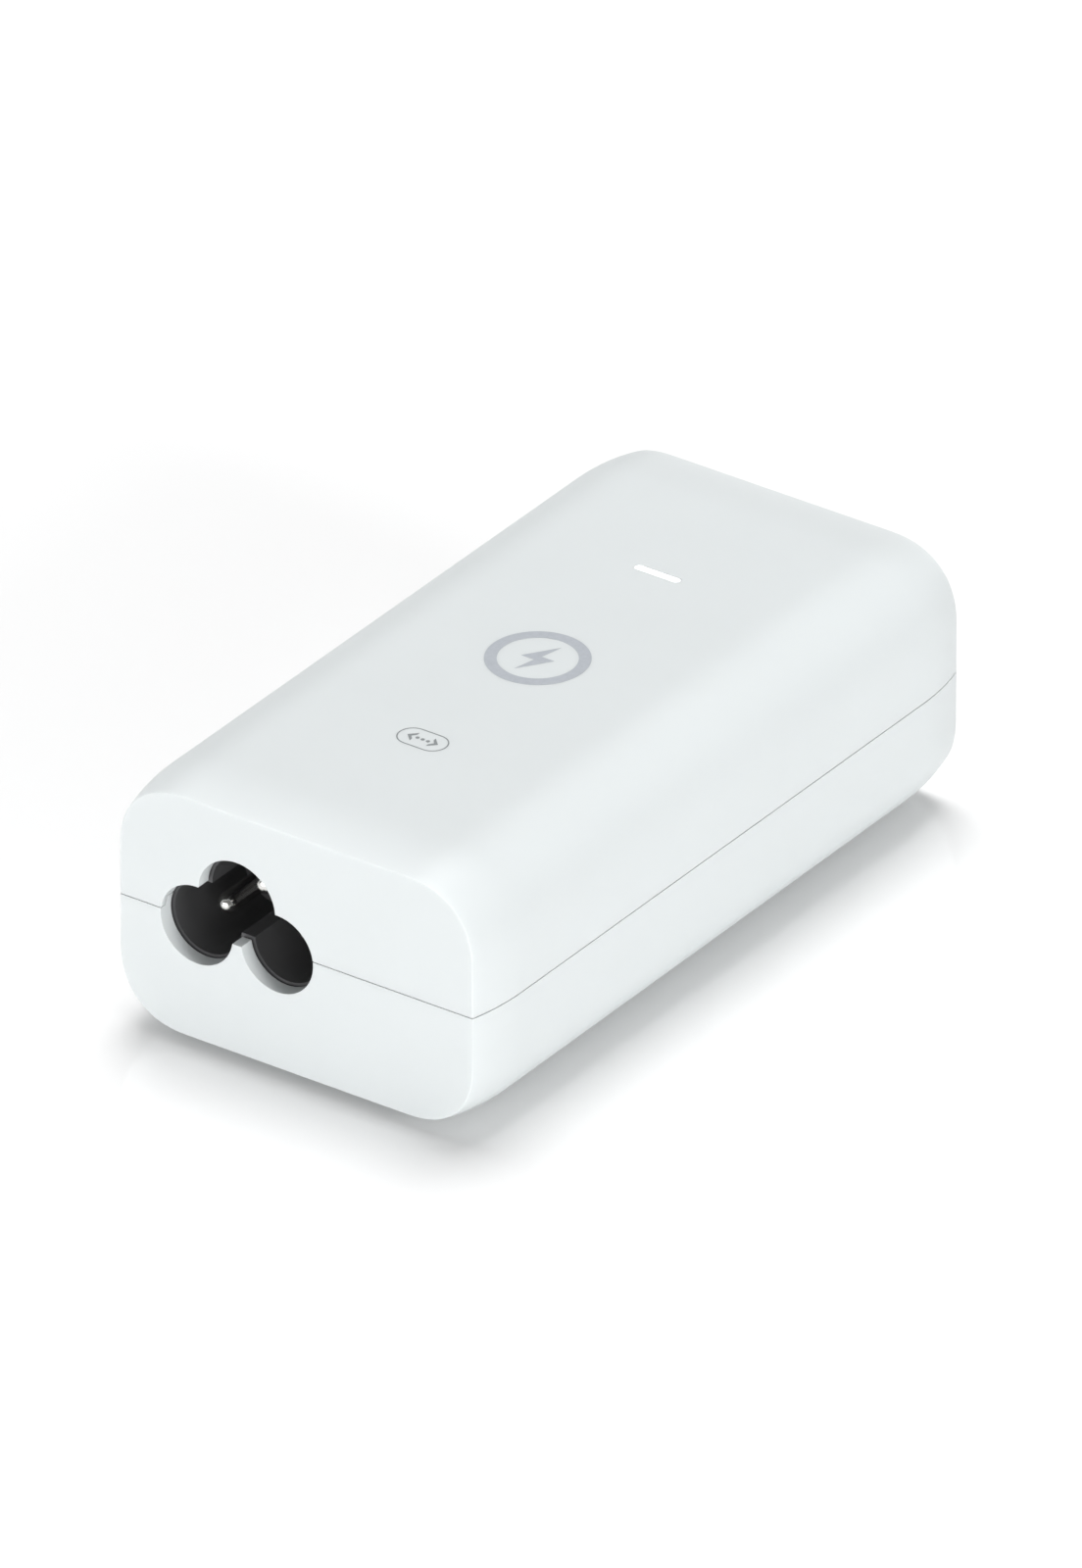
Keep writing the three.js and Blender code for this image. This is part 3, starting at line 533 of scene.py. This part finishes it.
def make_upper_half():
    """The lid with its groove, the ribs over the board, and the light bar's slot."""
    upper = slab(case_form("case_upper", 0, LENGTH), SPLIT + GAP / 2, 60)
    boolean(upper, [hollow()])
    inset, end_inset, rise = 0.95, 0.75, 1.25
    groove = case_form("groove", inset, LENGTH - 2 * end_inset, corner_steps=12, end_steps=5)
    boolean(upper, [slab(groove, SPLIT - 1, SPLIT + rise)])
    # A rib stands clear of the tongue as far up as mid, and runs into the wall above it
    low, mid, top, reach = BOARD_HI.z + 0.05, SPLIT + 1.55, SPLIT + 9.5, SUPPORT_WIDTH / 2
    inner, outer, wall = 17.9, 20.4, 21.5
    corners = [(inner, low), (outer, low), (outer, mid), (wall, mid), (wall, top), (inner, top)]
    ribs = [
        prism("rib", [(s * x, z) for x, z in corners], y - reach, y + reach, "Y")
        for s in (-1, 1)
        for y in SUPPORTS_Y
    ]
    boolean(upper, ribs, "UNION")
    length, width = BAR_LENGTH + 2 * BAR_GAP, BAR_WIDTH + 2 * BAR_GAP
    slot = prism("slot", rounded(length, width, width / 2 - 0.01, 0, BAR_Y, 12), HI.z - 4, HI.z + 1)
    return boolean(upper, [slot] + end_openings())


def make_case():
    for shell, node in ((make_lower_half(), "lower_shell"), (make_upper_half(), "upper_shell")):
        softened(shell, 0.35, segments=3, angle=34, weigh=case_edges)
        finish_piece(shell, CASE, "case_plastic", node)


def make_feet():
    for where in FEET:
        (centre, r), top = foot_shape(where), cad(f"foot_{where}")[1].z
        edge, chamfer = 0.25, 0.1
        dish = [(0.0, 0.06), (r * 0.55, 0.05), (r * 0.78, 0.0)]  # hollows the underside a little
        profile = dish + arc(r - edge, edge, edge, -90, 0, 6)
        profile += [(r, top - chamfer), (r - chamfer, top), (0.0, top)]
        foot = turned(f"rubber_foot_{where}", profile, "Z", (centre.x, centre.y, 0), 72)
        for polygon in foot.data.polygons:
            polygon.use_smooth = True
        smooth = foot.modifiers.new("normals", "WEIGHTED_NORMAL")
        smooth.mode, smooth.keep_sharp = "FACE_AREA", False
        finish_piece(foot, RUBBER, "foot_rubber", f"foot_{where}")


def make_light():
    """The lens that shows in the slot, the flange that holds it from below, and the guide down to the LED."""
    top, spread = BAR_HI.z, BAR_HI - BAR_LO
    lens = rounded(BAR_LENGTH, BAR_WIDTH, BAR_WIDTH / 2 - 0.01, 0, BAR_Y, 14)
    bar = prism("light_bar_lens", lens, top - 2.5, top)
    flange = prism("flange", rounded(spread.x, spread.y, 1.0, 0, BAR_Y, 8), top - 2.85, top - 2.05)
    guide = prism("guide", rounded(BAR_LENGTH - 1.6, BAR_WIDTH, 0.2, 0, BAR_Y, 4), BAR_LO.z, top - 2.4)
    boolean(bar, [flange, guide], "UNION")
    finish_piece(softened(bar, 0.12, segments=3, angle=40), LIT, "light_diffuser", "light_bar")


# ---- Printed marks --------------------------------------------------------------------------------------

INK_TOP, INK_DEPTH = 0.004, 0.012  # how far below the top of the CAD's box the ink is, and how thick it is
POWER_SIGN_Y, NETWORK_SIGN_Y = -0.5, -20.8


def printed(name, surface, outlines, rings=()):
    """Flat ink a hair above the top of the case. Each of the rings is inked between two outlines."""
    bm = bmesh.new()
    z = HI.z - INK_TOP
    for outline in outlines:
        verts = [bm.verts.new((x, y, z)) for x, y in outline]
        bm.faces.new(verts)
    for outer, inner in rings:
        a = [bm.verts.new((x, y, z)) for x, y in outer]
        b = [bm.verts.new((x, y, z)) for x, y in inner]
        for k in range(len(a)):
            n = (k + 1) % len(a)
            bm.faces.new((a[k], a[n], b[n], b[k]))
    thick = bmesh.ops.extrude_face_region(bm, geom=bm.faces[:])
    down = [v for v in thick["geom"] if isinstance(v, bmesh.types.BMVert)]
    bmesh.ops.translate(bm, verts=down, vec=(0, 0, -INK_DEPTH))
    return finish_piece(new_object(name, bm), surface, "case_plastic")


def make_marks():
    """A lightning bolt in a ring, and the usual sign for a network port in a pill."""
    y0, outer, inner = POWER_SIGN_Y, 5.5, 4.2
    ring = (arc(0, y0, outer, 0, 357, 119), arc(0, y0, inner, 0, 357, 119))
    bolt = [(0.75, 3.1), (-1.75, -0.45), (-0.15, -0.45), (-0.75, -3.1), (1.75, 0.45), (0.15, 0.45)]
    printed("printed_power_sign", INK, [[(x, y + y0) for x, y in bolt]], [ring])

    y0, length, width, stroke = NETWORK_SIGN_Y, 5.7, 3.3, 0.14
    pill = [
        rounded(length + grow, width + grow, (width + grow) / 2 - 0.01, 0, y0, 16)
        for grow in (stroke, -stroke)
    ]
    chevron = [(-1.0, 0.9), (-1.9, 0), (-1.0, -0.9), (-1.0, -0.5), (-1.4, 0), (-1.0, 0.5)]
    shapes = [[(s * x, y + y0) for x, y in chevron][::s] for s in (1, -1)]
    shapes += [arc(x, y0, 0.22, 0, 345, 23) for x in (-0.65, 0, 0.65)]
    printed("printed_network_sign", FINE_INK, shapes, [pill])


# ---- Appliance inlet ------------------------------------------------------------------------------------

POLES = ("line", "neutral", "earth")
SOCKET_DEPTH = 12.0
HOUSING_WALL = 1.3
PIN_ROOM = 0.1  # round a pin in its hole
TAIL_WIDTH, TAIL_DEPTH = 1.2, 0.8


def pin_axis(pole):
    """Where a pin's axis is, as (x, z)."""
    lo, hi = cad(f"{pole}_pin")
    return (lo.x + hi.x) / 2, hi.z - PIN_RADIUS


def inlet_outline():
    """A D shape round the three lobes, flat underneath so that it stands on the board."""
    half = POLE_PITCH / 2
    live, earth = LOBE + HOUSING_WALL, EARTH_LOBE + HOUSING_WALL
    lean = math.degrees(math.atan2(half, EARTH_RISE))
    outline = arc(half, 0, live, 0, lean, 14)
    outline += arc(0, EARTH_RISE, earth, lean, 180 - lean, 36)
    outline += arc(-half, 0, live, 180 - lean, 180, 14)
    base = INLET_LO.z - POLE_Z
    outline += [(-half - live, base), (half + live, base)]
    return [(INLET_X + x, POLE_Z + z) for x, z in outline]


def make_inlet_housing():
    front, back = INLET_LO.y, INLET_HI.y
    housing = prism("inlet_body", inlet_outline(), front, back, "Y")
    mouth = cloverleaf(-INLET_RIM, front - 1, front + SOCKET_DEPTH)
    boolean(housing, [mouth])
    for pole in POLES:
        x, z = pin_axis(pole)
        circle = arc(x, z, PIN_RADIUS + PIN_ROOM, 0, 348, 29)
        boolean(housing, [prism("hole", circle, front + SOCKET_DEPTH - 2, back + 1, "Y")])
    finish_piece(softened(housing, 0.16, segments=1, angle=32), BLACK, "black_plastic", "inlet_housing")


def make_pin(pole):
    """A round-nosed pin whose tail turns down through the board."""
    (lo, hi), (x, z), r = cad(f"{pole}_pin"), pin_axis(pole), PIN_RADIUS
    angles = [math.pi / 2 * k / 10 for k in range(11)]
    nose = [(r * math.sin(t), lo.y + r * (1 - math.cos(t))) for t in angles]
    chamfer = 0.1
    profile = nose + [(r, hi.y - chamfer), (r - chamfer, hi.y), (0.0, hi.y)]
    pin = turned(f"{pole}_contact", profile, "Y", (x, 0, z), 48)
    half = TAIL_WIDTH / 2
    tail = block("tail", (x - half, x + half), (hi.y - TAIL_DEPTH, hi.y), (lo.z, z))
    boolean(pin, [tail], "UNION")
    finish_piece(softened(pin, 0.08, segments=2, angle=40), NICKEL, "nickel_plate", f"{pole}_pin")


# ---- RJ45 jacks -----------------------------------------------------------------------------------------

SHEET = 0.3  # of the shield
HOUSING_SIDE = 0.45  # from the outside of the shield to the housing
MOUTH_WIDTH, MOUTH_HEIGHT, MOUTH_DEPTH, MOUTH_FLOOR = 11.9, 7.9, 13.2, 3.6
LEAD_IN, LEAD_DEPTH = 0.45, 0.6
CONTACTS, CONTACT_PITCH, WIRE = 8, 1.02, 0.4
SIDE_SPRINGS, ROOF_SPRINGS = (3.6, 8.4), (-4.2, 4.2)  # above the base, and across from the middle
SPRING_ALONG, SPRING_SLIT = (-5.2, -1.2), 0.26  # from the front, and the width of the slits beside a spring


def wire(name, path, side):
    """A square spring wire with rounded edges along a path in the YZ plane."""
    rings = []
    for i, (x, y, z) in enumerate(path):
        before, after = path[max(i - 1, 0)], path[min(i + 1, len(path) - 1)]
        t = Vector((0, after[1] - before[1], after[2] - before[2])).normalized()
        n = Vector((0, -t.z, t.y))
        section = rounded(side, side, side * 0.22, 0, 0, 2)
        rings.append([(x + u, y + n.y * v, z + n.z * v) for u, v in section])
    return loft(name, rings)


def hooded(x, half, low, top, radius, steps):
    """The outline of a box with a flat foot and two round top corners, as (x, z) points."""
    outline = [(x - half, low), (x + half, low)]
    outline += arc(x + half - radius, top - radius, radius, 0, 90, steps)
    return outline + arc(x - half + radius, top - radius, radius, 90, 180, steps)


def make_shield(use):
    """Folded sheet with rounded bends, grounding springs slit out of its roof and sides, and two tails."""
    lo, hi = JACKS[use]
    x, half, front, top = (lo.x + hi.x) / 2, (hi.x - lo.x) / 2, hi.y, hi.z
    shield = prism(f"{use}_jack_can", hooded(x, half, JACK_BASE, top, 0.6, 6), lo.y, front, "Y")
    inside = hooded(x, half - SHEET, JACK_BASE - 1, top - SHEET, 0.3, 4)
    boolean(shield, [prism("inside", inside, lo.y + SHEET, front + 1, "Y")])

    along, slit = [front + y for y in SPRING_ALONG], SPRING_SLIT / 2
    slits = []
    for side in (-1, 1):
        across = sorted((x + side * (half - 0.5), x + side * (half + 0.5)))
        for spring in SIDE_SPRINGS:
            for z in (JACK_BASE + spring - 0.95, JACK_BASE + spring + 0.95):
                slits.append(block("slit", across, along, (z - slit, z + slit)))
    for spring in ROOF_SPRINGS:
        for u in (x + spring - 1.0, x + spring + 1.0):
            slits.append(block("slit", (u - slit, u + slit), along, (top - 0.5, top + 1)))
    boolean(shield, slits)

    for side in (-1, 1):
        across = sorted((x + side * (half - SHEET), x + side * half))
        tail = block("tail", across, (front - 6.8, front - 5.2), (lo.z, JACK_BASE + 0.4))
        boolean(shield, [tail], "UNION")
    finish_piece(softened(shield, 0.06, segments=2, angle=34), STEEL, "shield_steel", f"{use}_jack_shield")


def throat_outline(x, floor):
    """The mouth of a jack with the two steps for the plug's latch under it, as (x, z) points."""
    half = MOUTH_WIDTH / 2
    left = [(-half, 0), (-3.15, 0), (-3.15, -1.5), (-1.7, -1.5), (-1.7, -2.7)]
    right = [(-u, v) for u, v in reversed(left)]
    roof = [(half, MOUTH_HEIGHT), (-half, MOUTH_HEIGHT)]
    return [(x + u, floor + v) for u, v in left + right + roof]


def grown(outline, margin):
    """An outline of square corners, moved outward by a margin."""
    moved = []
    for i, (u, v) in enumerate(outline):
        (au, av), (bu, bv) = outline[i - 1], outline[(i + 1) % len(outline)]
        e1, e2 = Vector((u - au, v - av)).normalized(), Vector((bu - u, bv - v)).normalized()
        moved.append((u + margin * (e1.y + e2.y), v - margin * (e1.x + e2.x)))
    return moved


def make_jack_housing(use):
    """The throat with its latch steps, a lead-in all round it, and the comb that holds the contacts."""
    lo, hi = JACKS[use]
    x, front, floor = (lo.x + hi.x) / 2, hi.y, JACK_BASE + MOUTH_FLOOR
    width, height = hi.x - lo.x - 2 * HOUSING_SIDE, hi.z - JACK_BASE - HOUSING_SIDE
    outline = rounded(width, height, 0.4, x, JACK_BASE + height / 2, 4)
    body = prism(f"{use}_jack_body", outline, lo.y + HOUSING_SIDE, front - 0.05, "Y")
    throat = throat_outline(x, floor)
    lead_in = ((throat, front - LEAD_DEPTH), (grown(throat, LEAD_IN), front + 0.1))
    lead = loft("lead", [[(u, y, v) for u, v in ring] for ring, y in lead_in])
    boolean(body, [prism("throat", throat, front - MOUTH_DEPTH, front + 1, "Y"), lead])
    # The latch steps end sooner than the rest of the throat
    stop = block("stop", (x - 3.3, x + 3.3), (front - MOUTH_DEPTH, front - 9.2), (floor - 2.9, floor))
    top = cad(f"{use}_jack_contacts")[1].z
    comb = prism("comb", rounded(9.3, 0.7, 0.12, x, top - 0.3, 3), front - 2.9, front - 1.5, "Y")
    boolean(body, [stop, comb], "UNION")
    finish_piece(softened(body, 0.07, segments=2, angle=34), BLACK, "black_plastic", f"{use}_jack_housing")


def make_springs(use):
    """Gold wires that come out of the comb over the mouth, turn back, and slope down into the throat."""
    lo, hi = JACKS[use]
    front, top = hi.y, cad(f"{use}_jack_contacts")[1].z
    springs = None
    for i in range(CONTACTS):
        x = (lo.x + hi.x) / 2 + (i - (CONTACTS - 1) / 2) * CONTACT_PITCH
        path = [(x, front - 1.35, top - 0.35), (x, front - 1.35, top - 0.8)]
        for k in range(11):
            t = k / 10
            path.append((x, front - 2.0 - 9.1 * t, top - 0.85 - 1.9 * t**1.2))
        spring = wire("spring", path, WIRE)
        springs = spring if springs is None else boolean(springs, [spring], "UNION")
    springs.name = f"{use}_jack_springs"
    finish_piece(softened(springs, 0.03, segments=1, angle=50), GOLD, "gold_plate", f"{use}_jack_contacts")


# ---- Inside ---------------------------------------------------------------------------------------------

# A CAD slot's material and how far its edges are rounded. The numbers of a plastic are its roughness, mottle,
# grain, depth and wear, and those of a metal its roughness, stretch and scratch.
INSIDE = {
    "board_laminate": (board_laminate("board_laminate"), 0.08),
    "insulation_paper": (plastic("insulation_paper", (0.60, 0.55, 0.40), 0.75, 0.08, 0.5, 0.03, 0.1), 0.03),
    "ferrite": (plastic("ferrite", (0.035, 0.035, 0.038), 0.6, 0.2, 0.25, 0.02, 0.35), 0.12),
    "copper_wire": (metal("copper_wire", (0.60, 0.24, 0.09), 0.28, (1, 0.08, 1), 0.35), 0.1),
    "winding_tape": (plastic("winding_tape", (0.72, 0.50, 0.04), 0.3, 0.06, 2.2, 0.02, 0.15), 0.08),
    "yellow_box": (plastic("yellow_box", (0.68, 0.48, 0.05), 0.35, 0.05, 0.5, 0.01, 0.2), 0.15),
    "blue_coating": (plastic("blue_coating", (0.02, 0.09, 0.30), 0.22, 0.1, 1.4, 0.02, 0.2), 0.2),
    "green_coating": (plastic("green_coating", (0.02, 0.12, 0.05), 0.3, 0.1, 1.0, 0.02, 0.2), 0.2),
    "brown_plastic": (plastic("brown_plastic", (0.09, 0.04, 0.02), 0.45, 0.1, 0.3, 0.01, 0.3), 0.15),
    "can_sleeve": (plastic("can_sleeve", (0.012, 0.018, 0.05), 0.25, 0.15, 1.8, 0.01, 0.25), 0.12),
    "heat_sink_metal": (metal("heat_sink_metal", (0.66, 0.67, 0.68), 0.34, (1, 1, 0.05), 0.3), 0.12),
    "black_plastic": (BLACK, 0.12),
    "nickel_plate": (NICKEL, 0.08),
    "light_diffuser": (LIT, 0.08),
}


def dress_inside():
    """Gives every CAD node that still shows its material, and small rounds on its edges."""
    slots = {s["node"]: s["material_slot"] for s in frame["record"]["subparts"]}
    for node, obj in frame["nodes"].items():
        if obj.hide_render:
            continue
        surface, width = INSIDE[slots[node]]
        while len(obj.material_slots) > 1:
            obj.data.materials.pop()
        if not obj.material_slots:
            obj.data.materials.append(surface)
        obj.material_slots[0].material = surface
        weld = obj.modifiers.new("weld", "WELD")
        weld.merge_threshold = SAME_POINT * MM
        bevel = obj.modifiers.new("edges", "BEVEL")
        bevel.width, bevel.segments, bevel.limit_method = width * MM, 2, "ANGLE"
        bevel.angle_limit = math.radians(32)
        smooth = obj.modifiers.new("normals", "WEIGHTED_NORMAL")
        smooth.mode, smooth.keep_sharp = "FACE_AREA", False


# ---- Stage, light and camera ----------------------------------------------------------------------------


def make_floor():
    """A round, glossy white floor."""
    bm = bmesh.new()
    bmesh.ops.create_circle(bm, cap_ends=True, segments=96, radius=800)
    floor = new_object("floor", bm)
    n = Nodes("floor_gloss")
    n.colour(n.ramp(n.noise(180, 2), (0.94, 0.94, 0.94), (0.945, 0.945, 0.945)))
    n.roughness(n.span(n.noise(60, 3), 0.04, 0.06))
    floor.data.materials.append(n.set(Specular_IOR_Level=0.5))


def make_world():
    """A studio that is white to look at, and dim as a light, so that the panels model the form."""
    world = bpy.data.worlds.new("studio")
    bpy.context.scene.world = world
    world.use_nodes = True
    tree = world.node_tree
    background = tree.nodes["Background"]
    path = tree.nodes.new("ShaderNodeLightPath")
    strength = tree.nodes.new("ShaderNodeMapRange")
    background.inputs["Color"].default_value = (1, 1, 1, 1)
    strength.inputs["To Min"].default_value = 0.2
    strength.inputs["To Max"].default_value = 1.0
    tree.links.new(path.outputs["Is Camera Ray"], strength.inputs["Value"])
    tree.links.new(strength.outputs["Result"], background.inputs["Strength"])


def panel(name, place, size, power, gloss=True):
    """A soft rectangular light aimed at the object, with its place and size in metres."""
    data = bpy.data.lights.new(name, "AREA")
    data.shape, data.size, data.size_y, data.energy = "RECTANGLE", size[0], size[1], power
    lamp = bpy.data.objects.new(name, data)
    lamp.location = place
    lamp.rotation_euler = (Vector((0, 0, 0.015)) - Vector(place)).to_track_quat("-Z", "Y").to_euler()
    lamp.visible_camera, lamp.visible_glossy = False, gloss
    bpy.context.scene.collection.objects.link(lamp)


def make_lights():
    panel("overhead", (-0.15, 0.28, 1.15), (0.7, 0.7), 10.5)
    panel("overhead_left", (-0.5, 0.25, 1.05), (0.9, 0.9), 2.5)
    panel("front", (-0.1, -1.5, 0.18), (1.2, 0.3), 11.0)
    panel("corner", (1.0, -1.1, 0.3), (0.9, 0.5), 8.6, gloss=False)
    panel("side", (1.5, -0.3, 0.35), (0.3, 0.7), 11.8, gloss=False)
    panel("rear", (-0.3, 1.5, 0.15), (1.2, 0.25), 3.5)
    panel("left", (-1.5, 0.2, 0.15), (1.2, 0.25), 2.5)


def make_camera():
    """Looks at the object from the front right, from above."""
    azimuth, elevation = math.radians(35.157), math.radians(30.071)
    ca, sa = math.cos(azimuth), math.sin(azimuth)
    ce, se = math.cos(elevation), math.sin(elevation)
    right, up = Vector((ca, sa, 0)), Vector((-sa * se, ca * se, ce))
    back = Vector((sa * ce, -ca * ce, se))
    distance, frame_height = 3703.7, 160.3206  # the camera sees that height at that distance
    data = bpy.data.cameras.new("camera")
    data.sensor_width = 36
    data.lens = data.sensor_width * distance / frame_height
    data.clip_start, data.clip_end = 0.5, 20  # in metres
    camera = bpy.data.objects.new("camera", data)
    centre = Vector((0, 0, SPLIT)) + right * 0.040 - up * 0.209  # what the camera looks at
    camera.location = (centre + back * distance) * MM
    camera.rotation_mode = "QUATERNION"
    camera.rotation_quaternion = back.to_track_quat("Z", "Y")
    bpy.context.scene.collection.objects.link(camera)
    bpy.context.scene.camera = camera


make_camera()
make_case()
make_feet()
make_light()
make_marks()
make_inlet_housing()
for pole in POLES:
    make_pin(pole)
for use in JACKS:
    make_shield(use)
    make_jack_housing(use)
    make_springs(use)
dress_inside()
make_floor()
make_world()
make_lights()

view = bpy.context.scene.view_settings
view.view_transform, view.look, view.exposure, view.gamma = "Standard", "None", 0.0, 1.0
